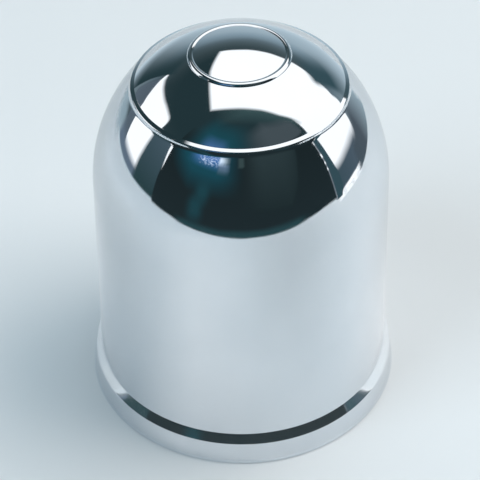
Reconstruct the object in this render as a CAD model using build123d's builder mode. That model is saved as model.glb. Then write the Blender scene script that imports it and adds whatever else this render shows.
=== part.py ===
from build123d import *
import os
from math import radians, sqrt, tan

# Tow ball cover: a hollow cap, moulded in one piece and plated, that is pushed down over a tow ball.
# It stands on the rim of its open mouth: the rim lies on the XY plane and the cap's axis is +Z.

# Driving dimensions, in millimetres and degrees

# Ball and the seat for it
ball_diameter = 50.0
ball_clearance = 0.25  # radial room round the ball
ball_height = 49.2  # centre of the seated ball above the rim
wall = 2.4

# Body and shoulder
body_draft = 0.8  # lean of the side, wider towards the foot
shoulder_drop = 1.5  # the side starts to round over this far below the ball's centre
shoulder_width = 7.85  # from the side in to the ledge, measured across the axis

# Ledge round the crown
ledge_width = 0.75
ledge_fall = 0.3  # how far the ledge slopes down to its outer edge
riser_height = 0.8  # step from the shoulder up to the ledge's outer edge
riser_lean = 16.0

# Bead round the middle of the crown
bead_diameter = 17.7
bead_width = 1.1
bead_height = 0.3

# Foot: a flared band with a bevel above it
band_height = 4.7
band_lean = 10.0
bevel_height = 1.8
bevel_width = 1.07

# Broken edges, and the hollow at the foot of the riser
rim_chamfer = 0.3
edge_round = 0.2
riser_round = 1.8

# Radii and heights that follow from them
bore_radius = ball_diameter / 2 + ball_clearance
dome_radius = bore_radius + wall
bevel_top = band_height + bevel_height
body_top = ball_height - shoulder_drop
body_foot_radius = dome_radius + (body_top - bevel_top) * tan(radians(body_draft))
band_top_radius = body_foot_radius + bevel_width
rim_radius = band_top_radius + band_height * tan(radians(band_lean))
crown_radius = dome_radius - shoulder_width - ledge_width
throat_height = band_height + (band_top_radius - wall - bore_radius) * bevel_height / bevel_width


def on_dome(radius):
    """Point of the section on the outside of the dome, which is concentric with the seated ball."""
    return Vector(radius, ball_height + sqrt(dome_radius**2 - radius**2))


# Points of the outside, from the rim up to the middle of the crown
rim_outside = Vector(rim_radius, 0)
band_edge = Vector(band_top_radius, band_height)
body_foot = Vector(body_foot_radius, bevel_top)
body_head = Vector(dome_radius, body_top)
crown_foot = on_dome(crown_radius)
ledge_edge = crown_foot + Vector(ledge_width, -ledge_fall)
riser_foot = ledge_edge + Vector(riser_height * tan(radians(riser_lean)), -riser_height)
bead_outside = on_dome((bead_diameter + bead_width) / 2)
bead_inside = on_dome((bead_diameter - bead_width) / 2)
crown_top = on_dome(0)

# Points of the inside, from the middle of the seat down to the mouth, which follows the foot
seat_top = Vector(0, ball_height + bore_radius)
bore_head = Vector(bore_radius, ball_height)
throat = Vector(bore_radius, throat_height)
mouth_step = Vector(band_top_radius - wall, band_height)
rim_inside = Vector(rim_radius - wall, 0)

with BuildPart() as cover:
    with BuildSketch(Plane.XZ) as section:
        with BuildLine():
            Polyline(rim_outside, band_edge, body_foot, body_head)
            TangentArc(body_head, riser_foot, tangent=body_head - body_foot)
            Polyline(riser_foot, ledge_edge, crown_foot)
            RadiusArc(crown_foot, bead_outside, -dome_radius)
            SagittaArc(bead_outside, bead_inside, -bead_height)
            RadiusArc(bead_inside, crown_top, -dome_radius)
            Line(crown_top, seat_top)
            RadiusArc(seat_top, bore_head, bore_radius)
            Polyline(bore_head, throat, mouth_step, rim_inside, rim_outside)
        make_face()

        def corners(*points):
            """Corners of the section that lie at the given points."""
            return [section.vertices().sort_by_distance(point)[0] for point in points]

        chamfer(corners(rim_outside, rim_inside), rim_chamfer)
        fillet(corners(band_edge, ledge_edge), edge_round)
        fillet(corners(riser_foot), riser_round)
    revolve(axis=Axis.Z)

cover.part.label = "cover"

os.makedirs("parts", exist_ok=True)
export_step(cover.part, "parts/cover.step")
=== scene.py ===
from math import atan2, cos, hypot, pi, radians, sin, sqrt, tan

import bpy
import numpy as np
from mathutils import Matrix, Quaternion, Vector


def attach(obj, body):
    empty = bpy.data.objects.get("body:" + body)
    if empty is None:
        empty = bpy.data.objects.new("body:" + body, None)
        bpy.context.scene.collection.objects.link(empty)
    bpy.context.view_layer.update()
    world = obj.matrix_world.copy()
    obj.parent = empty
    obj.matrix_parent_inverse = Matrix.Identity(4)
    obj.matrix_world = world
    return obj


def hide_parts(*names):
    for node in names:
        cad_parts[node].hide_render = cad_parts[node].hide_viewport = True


# Dressed tow ball cover: a chromed cap that stands on the rim of its mouth, in a small photo studio.
# Everything is in metres, in the part's own frame: the rim lies on z = 0 and the axis is +Z.

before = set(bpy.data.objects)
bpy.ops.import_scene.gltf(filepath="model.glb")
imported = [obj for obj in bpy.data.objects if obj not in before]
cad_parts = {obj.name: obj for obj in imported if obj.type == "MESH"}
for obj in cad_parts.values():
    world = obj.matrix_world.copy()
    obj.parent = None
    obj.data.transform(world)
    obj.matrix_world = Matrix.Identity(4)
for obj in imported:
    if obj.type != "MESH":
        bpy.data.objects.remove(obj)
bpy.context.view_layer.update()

MM = 0.001

# Sizes of the cap: the solid model's, apart from a slightly lower riser
BORE_RADIUS = 25.25 * MM
WALL = 2.4 * MM
BALL_HEIGHT = 49.2 * MM
BODY_DRAFT = radians(0.8)
SHOULDER_DROP = 1.5 * MM
SHOULDER_WIDTH = 7.85 * MM
LEDGE_WIDTH = 0.75 * MM
LEDGE_FALL = 0.3 * MM
RISER_HEIGHT = 0.72 * MM
RISER_LEAN = radians(16)
BEAD_RADIUS = 8.85 * MM
BEAD_WIDTH = 1.1 * MM
BEAD_HEIGHT = 0.3 * MM
BAND_HEIGHT = 4.7 * MM
BAND_LEAN = radians(10)
BEVEL_HEIGHT = 1.8 * MM
BEVEL_WIDTH = 1.07 * MM

# Roundings of the corners
RIM_ROUND = 0.3 * MM
EDGE_ROUND = 0.2 * MM
LEDGE_ROUND = 0.36 * MM
RISER_ROUND = 1.5 * MM
INNER_ROUND = 0.15 * MM
BEAD_ROUND = 0.1 * MM

# The bevel is slightly hollow, and more so beside its lower edge, where the plating is thicker
BEVEL_TILT = radians(0.2)  # outwards, at its top
BEVEL_UPPER_SHARE = 0.8  # of its length
BEVEL_UPPER_TURN = radians(1.5)
BEVEL_LOWER_TURN = radians(0.9)

# Mesh: steps round the axis, and how far from a rounding a loop holds the faces beside it
AROUND = 384
HOLD = 0.04 * MM
SAME_POINT = 1e-9

DOME_RADIUS = BORE_RADIUS + WALL
BEVEL_TOP = BAND_HEIGHT + BEVEL_HEIGHT
BODY_TOP = BALL_HEIGHT - SHOULDER_DROP
BODY_FOOT_RADIUS = DOME_RADIUS + (BODY_TOP - BEVEL_TOP) * tan(BODY_DRAFT)
BAND_TOP_RADIUS = BODY_FOOT_RADIUS + BEVEL_WIDTH
RIM_RADIUS = BAND_TOP_RADIUS + BAND_HEIGHT * tan(BAND_LEAN)
CROWN_RADIUS = DOME_RADIUS - SHOULDER_WIDTH - LEDGE_WIDTH
THROAT_HEIGHT = BAND_HEIGHT + (BAND_TOP_RADIUS - WALL - BORE_RADIUS) * BEVEL_HEIGHT / BEVEL_WIDTH


class Line:
    """Straight stretch of the profile, from one (radius, height) point to another."""

    def __init__(self, start, end):
        self.start = np.array(start)
        self.length = hypot(end[0] - start[0], end[1] - start[1])
        self.heading = atan2(end[1] - start[1], end[0] - start[0])

    def at(self, along):
        """Point and heading that far along the stretch."""
        way = np.array([cos(self.heading), sin(self.heading)])
        return self.start + along * way, self.heading


class Arc:
    """Round stretch of the profile, from its start and the heading there, with a signed turn."""

    def __init__(self, start, heading, radius, turn):
        self.start = np.array(start)
        self.heading = heading
        self.bend = (1 if turn > 0 else -1) / radius
        self.length = radius * abs(turn)

    def at(self, along):
        """Point and heading that far along the stretch."""
        heading = self.heading + self.bend * along
        step = np.array([sin(heading) - sin(self.heading), cos(self.heading) - cos(heading)])
        return self.start + step / self.bend, heading


def on_dome(radius):
    """Point on the outside of the dome, which is concentric with the ball."""
    return np.array([radius, BALL_HEIGHT + sqrt(DOME_RADIUS**2 - radius**2)])


def dome_arc(inner, outer):
    """Arc of the dome from one radius out to another."""
    lean = np.arcsin(np.array([inner, outer]) / DOME_RADIUS)
    return Arc(on_dome(inner), -lean[0], DOME_RADIUS, lean[0] - lean[1])


def bulge_arc(start, end, height):
    """Arc over a chord, as high above it as given, that bulges to the left of the way along it."""
    chord = hypot(*(end - start))
    half = 2 * atan2(2 * height, chord)
    heading = atan2(*(end - start)[::-1])
    return Arc(start, heading + half, chord / 2 / sin(half), -2 * half)


def arc_along(start, heading, length, turn):
    """Arc that leaves its start with the given heading and turns evenly over its length."""
    return Arc(start, heading, length / abs(turn), turn)


def arc_to(start, heading, end):
    """Arc that leaves its start with the given heading and goes to its end."""
    chord = hypot(*(end - start))
    half = atan2(*(end - start)[::-1]) - heading
    half = (half + pi) % (2 * pi) - pi
    return Arc(start, heading, chord / 2 / abs(sin(half)), 2 * half)


# The profile runs from the middle of the crown down the outside, round the rim and up the inside.
bead_outside = on_dome(BEAD_RADIUS + BEAD_WIDTH / 2)
bead_inside = on_dome(BEAD_RADIUS - BEAD_WIDTH / 2)
crown_foot = on_dome(CROWN_RADIUS)
ledge_edge = crown_foot + np.array([LEDGE_WIDTH, -LEDGE_FALL])
riser_foot = ledge_edge + np.array([RISER_HEIGHT * tan(RISER_LEAN), -RISER_HEIGHT])
body_head = np.array([DOME_RADIUS, BODY_TOP])
body_foot = np.array([BODY_FOOT_RADIUS, BEVEL_TOP])
bevel_slope = atan2(-BEVEL_HEIGHT, BEVEL_WIDTH)
bevel_length = hypot(BEVEL_HEIGHT, BEVEL_WIDTH)
upper_length = BEVEL_UPPER_SHARE * bevel_length
bevel_upper = arc_along(body_foot, bevel_slope + BEVEL_TILT, upper_length, BEVEL_UPPER_TURN)
lower_start, lower_heading = bevel_upper.at(upper_length)
bevel_lower = arc_along(lower_start, lower_heading, bevel_length - upper_length, BEVEL_LOWER_TURN)
band_edge = bevel_lower.at(bevel_lower.length)[0]
rim_outside = np.array([RIM_RADIUS, 0])
rim_inside = np.array([RIM_RADIUS - WALL, 0])
mouth_step = np.array([BAND_TOP_RADIUS - WALL, BAND_HEIGHT])
throat = np.array([BORE_RADIUS, THROAT_HEIGHT])
bore_head = np.array([BORE_RADIUS, BALL_HEIGHT])

up_the_body = atan2(*(body_head - body_foot)[::-1])
shoulder_up = arc_to(body_head, up_the_body, riser_foot)
shoulder_down = Arc(riser_foot, shoulder_up.at(shoulder_up.length)[1] + pi, 1 / abs(shoulder_up.bend),
                    -shoulder_up.bend * shoulder_up.length)

# Each stretch: its line, the rows of faces along it, the rounding after it and that rounding's rows
STRETCHES = [
    (dome_arc(0, bead_inside[0]), 14, BEAD_ROUND, 5),
    (bulge_arc(bead_inside, bead_outside, BEAD_HEIGHT), 12, BEAD_ROUND, 5),
    (dome_arc(bead_outside[0], crown_foot[0]), 18, INNER_ROUND, 5),
    (Line(crown_foot, ledge_edge), 3, LEDGE_ROUND, 8),
    (Line(ledge_edge, riser_foot), 2, RISER_ROUND, 10),
    (shoulder_down, 34, 0, 0),
    (Line(body_head, body_foot), 14, INNER_ROUND, 6),
    (bevel_upper, 4, 0, 0),
    (bevel_lower, 6, EDGE_ROUND, 6),
    (Line(band_edge, rim_outside), 4, RIM_ROUND, 7),
    (Line(rim_outside, rim_inside), 3, RIM_ROUND, 7),
    (Line(rim_inside, mouth_step), 4, EDGE_ROUND, 4),
    (Line(mouth_step, throat), 3, EDGE_ROUND, 4),
    (Line(throat, bore_head), 14, 0, 0),
    (Arc(bore_head, pi / 2, BORE_RADIUS, pi / 2), 24, 0, 0),
]

# Where the crown and the outside end in that list, where the seat starts, and which ones are the bevel
CROWN_END = 4
OUTSIDE_END = 10
SEAT_START = 14
BEVEL_STRETCHES = (7, 8)
RIM_SEAM = 2  # rows of the rim's underside that go with the outside

# Finishes, in the order of the piece's materials
BRIGHT, INSIDE, BEVEL = range(3)

# Newton's steps that place a rounding, and the share of its radius that probes the slope
NEWTON_STEPS = 8
PROBE_SHARE = 1e-4


def turned(angle):
    """The same angle between minus and plus half a turn."""
    return (angle + pi) % (2 * pi) - pi


def trims(line, following, rounding):
    """How far a rounding reaches back along one stretch and on along the next, and its turn."""
    bend = turned(following.at(0)[1] - line.at(line.length)[1])
    side = rounding if bend > 0 else -rounding

    def middle(stretch, along):
        """Middle of a circle of that radius that touches the stretch there."""
        point, heading = stretch.at(along)
        return point + side * np.array([-sin(heading), cos(heading)])

    def miss(reach):
        return middle(line, line.length - reach[0]) - middle(following, reach[1])

    # Newton's steps bring the two circles' middles together.
    reach = np.full(2, rounding * tan(abs(bend) / 2))
    probe = rounding * PROBE_SHARE
    for _ in range(NEWTON_STEPS):
        gap = miss(reach)
        slope = np.column_stack([(miss(reach + probe * unit) - gap) / probe for unit in np.eye(2)])
        reach = reach - np.linalg.solve(slope, gap)
    turn = turned(following.at(reach[1])[1] - line.at(line.length - reach[0])[1])
    return reach[0], reach[1], turn


def profile_rows():
    """Rows of the profile: points, headings, and for each row of faces the stretch it is on."""
    points, headings, owners = [], [], []
    trim_start = 0
    for index, (line, rows, rounding, round_rows) in enumerate(STRETCHES):
        trim_end = 0
        trim_next = 0
        if rounding:
            trim_end, trim_next, turn = trims(line, STRETCHES[index + 1][0], rounding)
        first, last = trim_start, line.length - trim_end
        places = np.linspace(first, last, rows + 1)
        if trim_start:
            places = np.insert(places, 1, first + min(HOLD, (last - first) / 4))
        if trim_end:
            places = np.insert(places, -1, last - min(HOLD, (last - first) / 4))
        for place in places:
            point, heading = line.at(place)
            if points and np.allclose(point, points[-1], atol=SAME_POINT):
                continue
            points.append(point)
            headings.append(heading)
            owners.append(index)
        if rounding:
            corner = Arc(points[-1], headings[-1], rounding, turn)
            for step in range(1, round_rows):
                point, heading = corner.at(corner.length * step / round_rows)
                points.append(point)
                headings.append(heading)
                owners.append(index)
        trim_start = trim_next
    return np.array(points), np.array(headings), np.array(owners)


def lathe(name):
    """The cap as one closed mesh, turned from its profile, with exact normals and a map."""
    points, headings, owners = profile_rows()
    rows = len(points)
    angles = np.arange(AROUND) * 2 * pi / AROUND
    ring = np.stack([np.cos(angles), np.sin(angles)], 1)
    normals_2d = np.stack([-np.sin(headings), np.cos(headings)], 1)

    # The first and last rows are single points on the axis.
    verts = [np.array([[0, 0, points[0][1]]])]
    normals = [np.array([[0, 0, 1.0]])]
    for (radius, height), (out, rise) in zip(points[1:-1], normals_2d[1:-1]):
        verts.append(np.column_stack([ring * radius, np.full(AROUND, height)]))
        normals.append(np.column_stack([ring * out, np.full(AROUND, rise)]))
    verts.append(np.array([[0, 0, points[-1][1]]]))
    normals.append(np.array([[0, 0, -1.0]]))
    verts = np.concatenate(verts)
    normals = np.concatenate(normals)

    def vertex(row, turn):
        """Number of the vertex in a row of the profile, that many steps round the axis."""
        if row == 0:
            return 0
        if row == rows - 1:
            return len(verts) - 1
        return 1 + (row - 1) * AROUND + turn % AROUND

    along = np.concatenate([[0], np.cumsum(np.hypot(*np.diff(points, axis=0).T))])
    crown_end = along[np.argmax(owners >= CROWN_END)]
    outside_end = along[np.argmax(owners >= OUTSIDE_END) + RIM_SEAM]
    seat_start = along[np.argmax(owners >= SEAT_START)]

    # The map: both walls unrolled, and above them the crown and the seat as discs
    girth = 2 * pi * RIM_RADIUS
    gap = 0.01
    disc_radius = (1 - (seat_start - crown_end) / girth - 4 * gap) / 2
    crown_middle = 0.25
    seat_middle = 0.75

    def strip_place(row, turn, start, base):
        """Place on the map of a point of an unrolled wall."""
        return gap + (1 - 2 * gap) * turn / AROUND, base + (along[row] - start) / girth

    def disc_place(row, turn, middle, start, span):
        """Place on the map of a point of a round end, seen along the axis."""
        angle = 2 * pi * turn / AROUND
        reach = disc_radius * abs(along[row] - start) / span
        return middle + reach * cos(angle), 1 - gap - disc_radius + reach * sin(angle)

    def place(row, turn, island):
        """Place on the map of a point of one of the four islands."""
        if island == 0:
            return disc_place(row, turn, crown_middle, 0, crown_end)
        if island == 1:
            return strip_place(row, turn, crown_end, gap)
        if island == 2:
            return strip_place(row, turn, outside_end, 2 * gap + (outside_end - crown_end) / girth)
        return disc_place(row, turn, seat_middle, along[-1], along[-1] - seat_start)

    faces, places, finish = [], [], []
    for row in range(rows - 1):
        middle = (along[row] + along[row + 1]) / 2
        island = int(middle > crown_end) + int(middle > outside_end) + int(middle > seat_start)
        row_finish = INSIDE if island > 1 else BEVEL if owners[row] in BEVEL_STRETCHES else BRIGHT
        for turn in range(AROUND):
            corners = [(row, turn), (row + 1, turn), (row + 1, turn + 1), (row, turn + 1)]
            if row == 0:
                corners = corners[:3]
            if row == rows - 2:
                corners = [corners[0], corners[1], corners[3]]
            faces.append([vertex(*corner) for corner in corners])
            places.extend(place(*corner, island) for corner in corners)
            finish.append(row_finish)

    mesh = bpy.data.meshes.new(name)
    mesh.from_pydata(verts.tolist(), [], faces)
    mesh.polygons.foreach_set("use_smooth", [True] * len(faces))
    mesh.polygons.foreach_set("material_index", finish)
    layer = mesh.uv_layers.new(name="OFBake")
    layer.uv.foreach_set("vector", np.array(places, dtype=np.float32).ravel())
    mesh.normals_split_custom_set_from_vertices(normals.tolist())
    piece = bpy.data.objects.new(name, mesh)
    bpy.context.scene.collection.objects.link(piece)
    return piece


class Nodes:
    """Short way to build a node tree."""

    def __init__(self, tree):
        self.tree = tree
        tree.nodes.clear()

    def add(self, kind, inputs=None, **settings):
        """A new node with its settings, and its inputs set to values or joined to sockets."""
        node = self.tree.nodes.new("ShaderNode" + kind)
        for key, value in settings.items():
            setattr(node, key, value)
        for key, value in (inputs or {}).items():
            if isinstance(value, bpy.types.NodeSocket):
                self.tree.links.new(value, node.inputs[key])
            else:
                node.inputs[key].default_value = value
        return node


def ramp(nodes, factor, stops):
    """Colour ramp with the given (place, colour) stops."""
    node = nodes.add("ValToRGB", {"Fac": factor})
    elements = node.color_ramp.elements
    while len(elements) < len(stops):
        elements.new(0.5)
    for element, (place, colour) in zip(elements, stops):
        element.position = place
        element.color = (*colour, 1)
    return node.outputs["Color"]


# Scales of the plating's clouding, polishing marks and waviness
CLOUD_SCALE = 70.0
MARK_SCALE = 160.0
WAVE_SCALE = 190.0


def chrome(name, light, dark, roughness, roughness_spread, wave_height, metallic=1.0):
    """Plated finish: soft clouding of the colour, fine polishing marks and a faint waviness."""
    material = bpy.data.materials.new(name)
    material.use_nodes = True
    nodes = Nodes(material.node_tree)
    place = nodes.add("TexCoord").outputs["Object"]
    cloud = nodes.add("TexNoise", {"Vector": place, "Scale": CLOUD_SCALE, "Detail": 2.0})
    colour = ramp(nodes, cloud.outputs["Fac"], [(0.3, dark), (0.7, light)])

    marks = nodes.add("TexNoise", {"Vector": place, "Scale": MARK_SCALE, "Detail": 5.0, "Roughness": 0.6})
    rough = nodes.add("MapRange", {"Value": marks.outputs["Fac"], "From Min": 0.35, "From Max": 0.75,
                                   "To Min": roughness, "To Max": roughness + roughness_spread})

    waves = nodes.add("TexNoise", {"Vector": place, "Scale": WAVE_SCALE, "Detail": 1.0, "Roughness": 0.4})
    bump = nodes.add("Bump", {"Height": waves.outputs["Fac"], "Strength": 1.0, "Distance": wave_height})

    shader = nodes.add("BsdfPrincipled", {"Base Color": colour, "Metallic": metallic,
                                          "Roughness": rough.outputs["Result"],
                                          "Normal": bump.outputs["Normal"]})
    out = nodes.add("OutputMaterial")
    nodes.tree.links.new(shader.outputs["BSDF"], out.inputs["Surface"])
    return material


cover = lathe("cover_shell")
cover.data.materials.append(
    chrome("chrome_bright", (0.75, 0.785, 0.82), (0.72, 0.757, 0.795), 0.03, 0.03, 1.7e-5))
cover.data.materials.append(
    chrome("chrome_inside", (0.66, 0.69, 0.70), (0.60, 0.63, 0.645), 0.22, 0.12, 3e-5))
cover.data.materials.append(
    chrome("chrome_bevel", (0.87, 0.90, 0.925), (0.84, 0.87, 0.90), 0.05, 0.04, 1.7e-5, metallic=0.972))
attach(cover, "root")
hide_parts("cover")

# Studio floor: plain and pale, and away from the object it glows evenly as a studio sweep does. The
# metal mirrors its near part, and beyond that the backdrop.
FLOOR_COLOUR = (0.755, 0.785, 0.80)
FLOOR_LEVEL = 0.93
FLOOR_GLOW_START = 0.25
FLOOR_GLOW_FULL = 0.9
FLOOR_NEAR = 0.5
FLOOR_FAR = 5.0
FLOOR_SIDES = 96


def floor_finish():
    """Matt paint that turns into an even glow away from the axis."""
    material = bpy.data.materials.new("floor_paint")
    material.use_nodes = True
    nodes = Nodes(material.node_tree)
    paint = nodes.add("BsdfPrincipled", {"Base Color": (*FLOOR_COLOUR, 1), "Roughness": 0.9,
                                         "Specular IOR Level": 0.1})
    light = nodes.add("Emission", {"Color": (*FLOOR_COLOUR, 1), "Strength": FLOOR_LEVEL})
    place = nodes.add("TexCoord").outputs["Object"]
    reach = nodes.add("VectorMath", {0: place}, operation="LENGTH")
    away = nodes.add("MapRange", {"Value": reach.outputs["Value"], "From Min": FLOOR_GLOW_START,
                                  "From Max": FLOOR_GLOW_FULL}, interpolation_type="SMOOTHSTEP")
    mix = nodes.add("MixShader", {0: away.outputs["Result"], 1: paint.outputs["BSDF"],
                                  2: light.outputs["Emission"]})
    out = nodes.add("OutputMaterial")
    nodes.tree.links.new(mix.outputs["Shader"], out.inputs["Surface"])
    return material


def floor_circle(reach):
    """Points of a circle on the floor, that far from the axis."""
    turns = [2 * pi * k / FLOOR_SIDES for k in range(FLOOR_SIDES)]
    return [(reach * cos(turn), reach * sin(turn), 0) for turn in turns]


def floor_piece(name, verts, faces):
    """Part of the floor."""
    mesh = bpy.data.meshes.new(name)
    mesh.from_pydata(verts, [], faces)
    mesh.materials.append(floor_paint)
    piece = bpy.data.objects.new(name, mesh)
    bpy.context.scene.collection.objects.link(piece)
    return piece


floor_paint = floor_finish()
floor_piece("floor_near", floor_circle(FLOOR_NEAR), [range(FLOOR_SIDES)])
ring_faces = []
for k in range(FLOOR_SIDES):
    after = (k + 1) % FLOOR_SIDES
    ring_faces.append((k, FLOOR_SIDES + k, FLOOR_SIDES + after, after))
floor_far = floor_piece("floor_far", floor_circle(FLOOR_NEAR) + floor_circle(FLOOR_FAR), ring_faces)
floor_far.visible_glossy = False

# Boards and softboxes round the object, which the polished metal mirrors. Each is a screen given by
# columns of bearing, lowest and highest elevation in degrees and distance, as seen from the middle of
# the cap's shoulder: bearing 0 is the camera's side and 90 is to its right.
EYE_HEIGHT = 0.055
LOWEST_BOARD = 0.0005
WHITE_LEVEL = 1.37
SPECKLE_START = 0.5
SPECKLE_FULL = 0.62

# Rows of faces up a screen, and the bearing between its columns
SCREEN_ROWS = 8
SCREEN_STEP = 2.0


def glow(name, low_colour, high_colour=None, speckle_scale=None):
    """Glowing finish of a softbox or a board, see-through at its soft edges.

    With two colours it goes from the lower to the upper one. With a scale it is broken up into speckles.
    """
    material = bpy.data.materials.new(name)
    material.use_nodes = True
    nodes = Nodes(material.node_tree)
    shade = (*low_colour, 1)
    if high_colour:
        rise = nodes.add("Attribute", attribute_name="rise").outputs["Fac"]
        shade = ramp(nodes, rise, [(0.0, low_colour), (1.0, high_colour)])
    light = nodes.add("Emission", {"Color": shade, "Strength": WHITE_LEVEL})
    lit = nodes.add("Attribute", attribute_name="lit").outputs["Fac"]
    if speckle_scale:
        place = nodes.add("TexCoord").outputs["Object"]
        grain = nodes.add("TexNoise", {"Vector": place, "Scale": speckle_scale, "Detail": 1.0})
        spots = nodes.add("MapRange", {"Value": grain.outputs["Fac"], "From Min": SPECKLE_START,
                                       "From Max": SPECKLE_FULL})
        broken = nodes.add("Math", {0: lit, 1: spots.outputs["Result"]}, operation="MULTIPLY")
        lit = broken.outputs["Value"]
    soft = nodes.add("MixShader", {0: lit, 1: nodes.add("BsdfTransparent").outputs["BSDF"],
                                   2: light.outputs["Emission"]})
    out = nodes.add("OutputMaterial")
    nodes.tree.links.new(soft.outputs["Shader"], out.inputs["Surface"])
    return material


def board(name, verts, faces, lit, rise, material):
    """Part of the studio that only mirrors show. Its vertices are lit from 0, a soft edge, to 1."""
    mesh = bpy.data.meshes.new(name)
    mesh.from_pydata(verts, [], faces)
    mesh.attributes.new("lit", "FLOAT", "POINT").data.foreach_set("value", lit)
    mesh.attributes.new("rise", "FLOAT", "POINT").data.foreach_set("value", rise)
    mesh.materials.append(material)
    piece = bpy.data.objects.new(name, mesh)
    bpy.context.scene.collection.objects.link(piece)
    piece.visible_camera = False
    piece.visible_diffuse = False
    piece.visible_transmission = False
    piece.visible_volume_scatter = False
    piece.visible_shadow = False


def ease(place, soft):
    """Light of a soft edge, that far in from it."""
    if soft <= 0:
        return 1.0
    share = min(1.0, max(0.0, place / soft))
    return share * share * (3 - 2 * share)


def upright(bearing, elevation, distance):
    """Point of an upright board, seen at that elevation from the cap's shoulder."""
    height = max(LOWEST_BOARD, EYE_HEIGHT + distance * tan(radians(elevation)))
    return distance * sin(radians(bearing)), -distance * cos(radians(bearing)), height


def lying(bearing, reach, height):
    """Point of a board that lies just over the floor, that far from the axis."""
    return reach * sin(radians(bearing)), -reach * cos(radians(bearing)), height


def even(distance, columns):
    """Columns of a board that is all at one distance."""
    return [(*column, distance) for column in columns]


def panel(first, last, low, high, distance):
    """Columns of a board with level edges, from one bearing to another."""
    return [(first, low, high, distance), (last, low, high, distance)]


def screen(name, columns, material, soft=(0, 0, 0, 0), cover=1.0, across=False, point=upright):
    """Board round the object, soft by so much at its first, last, low and high edge.

    The cover is how much it hides of what is behind it. Its colour goes from low to high, or across.
    """
    fine = []
    for start, end in zip(columns, columns[1:]):
        steps = max(1, int(abs(end[0] - start[0]) / SCREEN_STEP))
        fine.extend(np.array(start) + (np.array(end) - start) * k / steps for k in range(steps))
    fine.append(np.array(columns[-1]))
    first, last = columns[0][0], columns[-1][0]
    verts, lit, rises = [], [], []
    for bearing, low, high, distance in fine:
        side = cover * ease(bearing - first, soft[0]) * ease(last - bearing, soft[1])
        low_soft = min(soft[2], (high - low) / 2)
        high_soft = min(soft[3], (high - low) / 2)
        for level in (low, *np.linspace(low + low_soft, high - high_soft, SCREEN_ROWS - 1), high):
            verts.append(point(bearing, level, distance))
            lit.append(side * ease(level - low, low_soft) * ease(high - level, high_soft))
            rises.append((bearing - first) / (last - first) if across else (level - low) / (high - low))
    row = SCREEN_ROWS + 1
    faces = [(row * k + j, row * k + j + row, row * k + j + row + 1, row * k + j + 1)
             for k in range(len(fine) - 1) for j in range(SCREEN_ROWS)]
    board(name, verts, faces, lit, rises, material)


def flat_board(name, outline, inset, height, material):
    """Level board over the object, with a soft edge that lies inside its outline."""
    count = len(outline)
    verts = [(x, y, height) for x, y in outline] + [(x, y, height) for x, y in inset]
    faces = [(k, (k + 1) % count, count + (k + 1) % count, count + k) for k in range(count)]
    faces.append(tuple(range(count, 2 * count)))
    board(name, verts, faces, [0.0] * count + [1.0] * count, [1.0] * 2 * count, material)


# Finishes of the boards
white = glow("softbox_white", (0.985, 0.993, 1.0))
dark = glow("board_dark", (0.0136, 0.0228, 0.0260), (0.0090, 0.0145, 0.0155))
grey_left = glow("board_grey_left", (0.019, 0.044, 0.048), (0.057, 0.090, 0.112))
mauve_low = glow("board_mauve_low", (0.106, 0.145, 0.19))
mauve_high = glow("board_mauve_high", (0.09, 0.118, 0.145), (0.077, 0.100, 0.121))
# Grey-blue finish of a painted shadow on the floor, low on the left
painted_shadow_left = glow("board_painted_shadow_left", (0.24, 0.32, 0.36))
dark_left = glow("board_dark_left", (0.0175, 0.0375, 0.043))
grey_side = glow("board_grey_side", (0.032, 0.068, 0.082), (0.034, 0.068, 0.082))
grey_right = glow("board_grey_right", (0.042, 0.072, 0.090), (0.084, 0.111, 0.141))
grey_corner = glow("board_grey_corner", (0.054, 0.077, 0.093), (0.068, 0.086, 0.104))
haze_right = glow("board_haze_right", (0.068, 0.086, 0.104), (0.30, 0.385, 0.43))
grey_top = glow("board_grey_top", (0.055, 0.072, 0.08))
pale = glow("board_pale", (0.10, 0.12, 0.14), (0.34, 0.37, 0.40))
teal = glow("board_teal", (0.010, 0.050, 0.064), (0.010, 0.068, 0.095))
teal_streak = glow("board_teal_streak", (0.013, 0.055, 0.068))
teal_foot = glow("board_teal_foot", (0.0195, 0.051, 0.058))
teal_top = glow("board_teal_top", (0.010, 0.062, 0.082), (0.010, 0.056, 0.070))
grey_front = glow("board_grey_front", (0.0128, 0.0222, 0.0243), (0.0272, 0.0435, 0.0468))
blue = glow("board_blue", (0.03, 0.12, 0.25), (0.11, 0.22, 0.53))
blue_pale = glow("board_blue_pale", (0.62, 0.76, 0.95), (0.84, 0.94, 1.0))
blue_tail = glow("board_blue_tail", (0.03, 0.075, 0.09), (0.135, 0.20, 0.30))
sparkle = glow("board_sparkle", (0.60, 0.72, 0.95), (0.72, 0.82, 1.0), speckle_scale=230.0)
blue_high = glow("board_blue_high", (0.06, 0.135, 0.28), (0.04, 0.11, 0.22))
teal_haze = glow("board_teal_haze", (0.038, 0.072, 0.075))
lens = glow("board_lens", (0.036, 0.059, 0.060))

# Overhead: the large softbox and the haze beyond its front edge
flat_board("softbox_top",
           [(-0.235, -0.067), (-0.04, -0.080), (0.15, -0.083), (0.32, -0.097), (0.5, -0.088), (2.0, -0.07),
            (2.0, 1.0), (0.8, 0.71), (0.2, 0.725), (-0.165, 0.725), (-0.195, 0.54), (-0.227, 0.35)],
           [(-0.205, -0.042), (-0.04, -0.055), (0.15, -0.058), (0.32, -0.072), (0.5, -0.063),
            (1.95, -0.045), (1.95, 0.96), (0.8, 0.68), (0.2, 0.695), (-0.135, 0.69), (-0.165, 0.53),
            (-0.197, 0.35)], height=0.66, material=white)
flat_board("haze_top", [(-0.2, -0.21), (0.62, -0.21), (0.62, -0.03), (-0.2, -0.03)],
           [(0.05, -0.09), (0.42, -0.09), (0.42, -0.05), (0.05, -0.05)], height=0.662, material=teal_haze)

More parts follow.
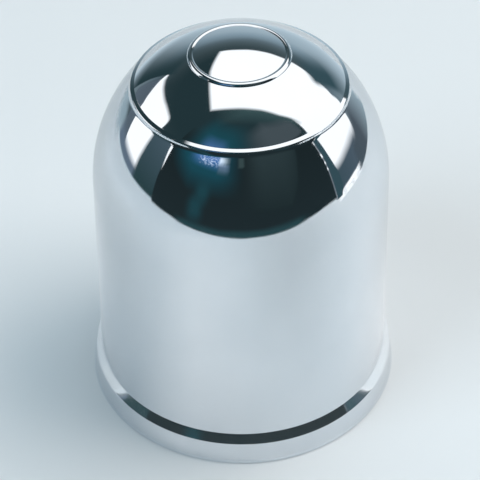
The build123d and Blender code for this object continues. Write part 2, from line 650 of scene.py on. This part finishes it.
# Front: the dark board that stands on the floor, and the coloured glows before it
screen("board_front", [(-67, -7.3, 55, 0.43), (-45, -9.3, 58, 0.335), (-30, -11.1, 60, 0.28),
                       (-15, -12.2, 62, 0.254), (0, -12.8, 62, 0.242), (15, -12.5, 62, 0.248),
                       (30, -11.9, 60, 0.261), (45, -10.2, 58, 0.306), (60, -9.2, 55, 0.34),
                       (71, -9.6, 50, 0.325)], dark, soft=(0, 0, 1.6, 16))
screen("board_front_top", even(0.2, [(-8, 48, 64), (40, 46, 70), (67, 42, 62), (74, 42, 58)]),
       grey_top, soft=(48, 3, 2, 8))
screen("glow_foot", [(-50, -9.2, -4, 0.31), (-30, -11.3, -5, 0.272), (-15, -12.4, -6, 0.247),
                     (0, -13.0, -6, 0.236), (15, -12.7, -6, 0.242), (30, -12.1, -5, 0.256),
                     (48, -10.4, -4.5, 0.29)], teal_foot, soft=(10, 10, 1.2, 5))
screen("glow_front", even(0.225, [(-2, 4, 46), (36, 0, 46), (40, 6, 46), (44, 12, 46), (48, 20, 46),
                                  (54, 32, 46)]), grey_front, soft=(22, 0.5, 5, 0))
screen("glow_teal", even(0.22, [(-68, 27, 46), (-52, 18, 46), (-42, 12, 46), (4, 12, 46)]),
       teal, soft=(18, 26, 14, 8))
screen("glow_streak_low", panel(-41, -25, -8, 14, 0.215), teal_streak, soft=(7, 7, 9, 8), cover=0.8)
screen("glow_streak_high", panel(-37, -21, 4, 25, 0.214), teal_streak, soft=(7, 7, 9, 9), cover=0.8)
screen("glow_blue", panel(-50, -14, 28, 44, 0.21), blue, soft=(12, 7, 7, 6))
screen("glow_sparkle", panel(-40, -19, 30.5, 39, 0.207), sparkle, soft=(6, 4, 3, 4), cover=0.8)
screen("glow_spot_tail", panel(-20.8, -9, 26.5, 34.5, 0.205), blue_tail, soft=(1.5, 4, 4, 1.5), cover=0.9)
screen("glow_spot", panel(-20.8, -9, 32.2, 39.4, 0.204), blue_pale, soft=(1.5, 11, 3.2, 2.5))
screen("glow_lens", panel(-3.4, 4.2, 32, 40, 0.205), lens, soft=(1.2, 1.8, 1.5, 2))
screen("glow_top", panel(-64, 26, 42, 72, 0.192), teal_top, soft=(24, 46, 4, 16))
screen("glow_top_blue", panel(-50, -12, 42, 58.5, 0.19), blue_high, soft=(15, 13, 2, 8))

# Right: the softbox, the broken strip of light beside it and the boards beside and below it
screen("softbox_right", even(0.6, [(76, -3, 38), (77.6, -3, 41), (78.8, -3, 47), (79.4, -3, 61),
                                   (109, -3, 58), (111, 1.5, 56), (114, 8, 53), (118, 14, 49),
                                   (122, 19, 44)]), white, soft=(0.5, 1.5, 1.5, 0))
screen("strip_right", panel(70.5, 71.2, -10, 28, 0.305), pale)
DASH_BEARING = 70.8
DASHES = [(25, 28, 0.8), (16, 19.5, 1.3), (12, 14.5, 0.9), (8, 10.5, 0.8)]  # foot, head and width
for number, (foot, head, width) in enumerate(DASHES):
    dash = panel(DASH_BEARING - width / 2, DASH_BEARING + width / 2, foot, head, 0.3)
    screen(f"strip_right_dash_{number}", dash, white, soft=(0, 0, 1, 1))
screen("board_right", even(0.31, [(71.4, -20, 40), (75.8, -20, 40), (76.1, -20, 22), (76.4, -20, 15),
                                  (76.8, -8.4, 10), (77.4, -7.6, 6), (78.4, -7.4, 2.5)]), grey_side)
screen("board_right_low", even(0.36, [(76.2, -8.6, 8.4), (78, -8, 8.3), (80.5, -7.4, 8), (91, -7.3, 8.2),
                                      (94, -7.6, 8.1), (100, -7.8, 7.6), (104, -8.6, 7), (113, -8.6, 5.5)]),
       grey_right, soft=(0, 10, 0.6, 5.5), across=True)
screen("board_right_corner", even(0.288, [(96, -10.8, 2.5), (106, -10.8, 4.5), (111, -10.8, 7),
                                          (114, -10.8, 9.5)]), grey_corner, soft=(5, 0, 0, 4.5), across=True)
screen("board_right_haze", even(0.288, [(114, -10.8, 9.5), (117, -10.8, 11.5), (121, -10.8, 12),
                                        (128, -10.8, 8.5), (138, -10.8, 3)]),
       haze_right, soft=(0, 5, 0, 4.5), across=True)
screen("board_right_dark", panel(124, 158, 2, 34, 0.8), grey_side, soft=(6, 22, 14, 4))

# Left: the softbox, and the boards and the strip beside and below it
screen("softbox_left", even(1.0, [(-137, 28.5, 30.0), (-132, 25.2, 30.8), (-126, 21.8, 32.8),
                                  (-120, 18.2, 35.2), (-116, 12, 36.6), (-112, 4, 38.0),
                                  (-108, -2.5, 39.5), (-104, -3, 40.6), (-100, -3, 41.3), (-96, -3, 41.7),
                                  (-93.5, -3, 41.3), (-92, -3, 40.2), (-90.8, -3, 37.5), (-90, -3, 31),
                                  (-88, -3, 20)]), white, soft=(0, 0, 0.5, 2.8))
screen("board_left", even(0.45, [(-90.0, -5.7, 30), (-67, -5.7, 28)]), grey_left, soft=(3.5, 0, 1.2, 0))
screen("board_left_back", even(1.1, [(-135, 8, 29), (-124, 5, 28), (-119, -2.8, 27), (-102, -2.8, 8)]),
       mauve_high, soft=(1.5, 0, 2, 2))
screen("board_left_low", panel(-122, -86, -5.6, 2, 0.55), mauve_low, soft=(6, 0, 0.8, 4))
# Painted shadow: a grey-blue board low on the left stands for the floor's soft shadow beside the boards'
# foot
screen("board_left_painted_shadow", even(0.3, [(-152, -10.3, -3), (-132, -10.3, -1), (-124, -10.3, 3),
                                     (-115, -10.3, 3)]), painted_shadow_left, soft=(16, 8, 5, 3), cover=0.85)
screen("board_left_dark", panel(-168, -136, -4.2, 36, 0.75), dark_left, soft=(31, 0, 10, 6))
screen("strip_left", even(0.38, [(-68.3, 25, 28), (-67.2, 18, 28.5), (-66, 12, 28)]), white,
       soft=(0, 0, 4, 0))

# Painted pool of light on the floor in front of the right softbox, a white sheet that only the metal shows:
# its columns give reaches from the axis
PATCH_HEIGHT = 0.0004
screen("floor_painted_light", even(PATCH_HEIGHT, [(71, 0.25, 0.31), (74, 0.254, 0.31), (77, 0.262, 0.33),
                                          (79, 0.268, 0.45), (91, 0.268, 0.45), (101, 0.268, 0.43)]),
       white, soft=(0.4, 3, 0.006, 0), point=lying)

# Soft light and shade on the floor round the object
TONE_BEARINGS = np.arange(-180, 180, 3)
TONE_REACHES = np.geomspace(0.0303, 0.46, 40)


def floor_tone(name, covers, reaches, height, material):
    """Sheet just over the floor that lightens or darkens it in the metal.

    The covers are (bearing, cover) pairs right round. The tone starts at the first reach from the axis,
    is full between the next two and ends at the last.
    """
    start, full, hold, end = reaches
    tones = np.interp(TONE_BEARINGS, *zip(*covers), period=360)
    shares = [ease(reach - start, full - start) * ease(end - reach, end - hold) for reach in TONE_REACHES]
    verts = [lying(bearing, reach, height) for bearing in TONE_BEARINGS for reach in TONE_REACHES]
    lit = np.outer(tones, shares).ravel()
    row = len(TONE_REACHES)
    faces = []
    for here in range(0, len(verts), row):
        after = (here + row) % len(verts)
        faces.extend((here + k, after + k, after + k + 1, here + k + 1) for k in range(row - 1))
    board(name, verts, faces, lit, np.ones(len(verts)), material)


floor_tone("floor_shade", [(-180, 0.02), (-165, 0.14), (-150, 0.18), (-135, 0.14), (-115, 0.0), (-12, 0.0),
                           (2, 0.045), (16, 0.125), (32, 0.17), (48, 0.125), (62, 0.045), (76, 0.0),
                           (160, 0.0)], (0.036, 0.086, 0.2, 0.45), 0.0004, dark)
floor_tone("floor_shade_left", [(-160, 0.0), (-135, 0.06), (-110, 0.15), (-85, 0.135), (-62, 0.035),
                                (-45, 0.0)], (0.036, 0.07, 0.1, 0.2), 0.0006, dark)
floor_tone("floor_shade_right", [(120, 0.0), (134, 0.03), (146, 0.09), (158, 0.14), (170, 0.1),
                                 (180, 0.02)], (0.0305, 0.038, 0.2, 0.45), 0.0007, dark)
floor_tone("floor_light", [(-150, 0.0), (-120, 0.05), (-80, 0.04), (-60, 0.0), (-44, 0.065), (-27, 0.14),
                           (-10, 0.065), (6, 0.0), (66, 0.0), (79, 0.08), (95, 0.16), (112, 0.12),
                           (127, 0.04), (140, 0.0)], (0.0305, 0.033, 0.17, 0.28), 0.0008, white)
floor_tone("floor_light_near", [(-160, 0.0), (-130, 0.065), (-70, 0.05), (-40, 0.01), (-25, 0.0), (50, 0.0),
                                (75, 0.12), (110, 0.12), (130, 0.06), (150, 0.0)],
           (0.0305, 0.033, 0.036, 0.08), 0.001, white)

# World: a pale backdrop low behind the object that fades to a dark ceiling. The camera sees it plain.
BACKDROP_BEARING = radians(170)
BACKDROP_FOOT = -0.14  # upward part of the direction where the backdrop starts
BACKDROP_HEAD = 0.7  # and where it ends
BACKDROP_SIDE = 0.45  # part of the direction towards its middle where its level is down to the side's
SIDE_LEVEL = 0.15
world = bpy.data.worlds.new("studio_world")
bpy.context.scene.world = world
world.use_nodes = True
sky = Nodes(world.node_tree)
way = sky.add("TexCoord").outputs["Generated"]
climb = sky.add("SeparateXYZ", {"Vector": way}).outputs["Z"]
fade = sky.add("MapRange", {"Value": climb, "From Min": BACKDROP_FOOT, "From Max": BACKDROP_HEAD})
backdrop = ramp(sky, fade.outputs["Result"], [
    (0.0, (0.66, 0.75, 0.81)),
    (0.063, (0.55, 0.655, 0.725)),
    (0.167, (0.48, 0.58, 0.65)),
    (0.417, (0.40, 0.49, 0.55)),
    (0.533, (0.29, 0.375, 0.435)),
    (0.613, (0.215, 0.28, 0.325)),
    (0.688, (0.115, 0.145, 0.167)),
    (0.762, (0.072, 0.088, 0.096)),
    (0.86, (0.035, 0.04, 0.042)),
    (1.0, (0.0, 0.0, 0.0)),
])
level_way = sky.add("VectorMath", {0: way, 1: (1.0, 1.0, 0.0)}, operation="MULTIPLY")
heading = sky.add("VectorMath", {0: level_way.outputs["Vector"]}, operation="NORMALIZE")
facing = sky.add("VectorMath", {0: heading.outputs["Vector"],
                                1: (sin(BACKDROP_BEARING), -cos(BACKDROP_BEARING), 0.0)},
                 operation="DOT_PRODUCT")
behind = sky.add("MapRange", {"Value": facing.outputs["Value"], "From Min": BACKDROP_SIDE, "From Max": 1.0,
                              "To Min": SIDE_LEVEL, "To Max": 1.0})
strength = sky.add("MapRange", {"Value": climb, "From Min": BACKDROP_FOOT, "From Max": 0.0, "To Min": 1.0,
                                "To Max": behind.outputs["Result"]})
ceiling_light = sky.add("Background", {"Color": (0.021, 0.043, 0.049, 1), "Strength": 1.0})
backdrop_light = sky.add("Background", {"Color": backdrop, "Strength": strength.outputs["Result"]})
seen_in_metal = sky.add("AddShader", {0: ceiling_light.outputs["Background"],
                                      1: backdrop_light.outputs["Background"]})
seen_by_camera = sky.add("Background", {"Color": (*FLOOR_COLOUR, 1), "Strength": 1.0})
light_path = sky.add("LightPath")
sky_mix = sky.add("MixShader", {0: light_path.outputs["Is Camera Ray"], 1: seen_in_metal.outputs["Shader"],
                                2: seen_by_camera.outputs["Background"]})
sky_out = sky.add("OutputWorld")
sky.tree.links.new(sky_mix.outputs["Shader"], sky_out.inputs["Surface"])


def lamp(name, bearing, elevation, distance, size, colour, radiance):
    """Soft square lamp that lights the floor. The metal mirrors the softboxes instead."""
    data = bpy.data.lights.new(name, "AREA")
    data.size = size
    data.color = colour
    data.energy = radiance * pi * size**2
    piece = bpy.data.objects.new(name, data)
    out = Vector((sin(bearing) * cos(elevation), -cos(bearing) * cos(elevation), sin(elevation)))
    piece.location = out * distance
    piece.rotation_mode = "QUATERNION"
    piece.rotation_quaternion = (-out).to_track_quat("-Z", "Y")
    piece.visible_camera = False
    piece.visible_glossy = False
    bpy.context.scene.collection.objects.link(piece)


lamp("lamp_top", radians(110), radians(70), 1.7, 2.4, (0.80, 0.92, 1.0), 1.35)
lamp("lamp_right", radians(95), radians(52), 1.4, 1.1, (1.0, 0.86, 0.76), 2.8)
lamp("lamp_front", radians(-55), radians(48), 1.4, 0.7, (0.76, 0.90, 1.0), 4.3)

# Camera at the photograph's angle
CAMERA_ELEVATION = radians(42.15)
CAMERA_DISTANCE = 0.39533
CAMERA_AIM = Vector((-0.00033, 0, 0.03076))
CAMERA_ROLL = radians(-0.756)
FOCAL_PIXELS = 2052.2
IMAGE_PIXELS = 480
SENSOR = 36.0

camera_data = bpy.data.cameras.new("camera")
camera_data.sensor_width = SENSOR
camera_data.lens = SENSOR * FOCAL_PIXELS / IMAGE_PIXELS
camera_data.clip_start = 0.01
camera = bpy.data.objects.new("camera", camera_data)
back = Vector((0, -cos(CAMERA_ELEVATION), sin(CAMERA_ELEVATION)))
camera.location = CAMERA_AIM + back * CAMERA_DISTANCE
camera.rotation_mode = "QUATERNION"
camera.rotation_quaternion = (-back).to_track_quat("-Z", "Y") @ Quaternion((0, 0, 1), CAMERA_ROLL)
bpy.context.scene.collection.objects.link(camera)
bpy.context.scene.camera = camera

bpy.context.scene.view_settings.view_transform = "Standard"
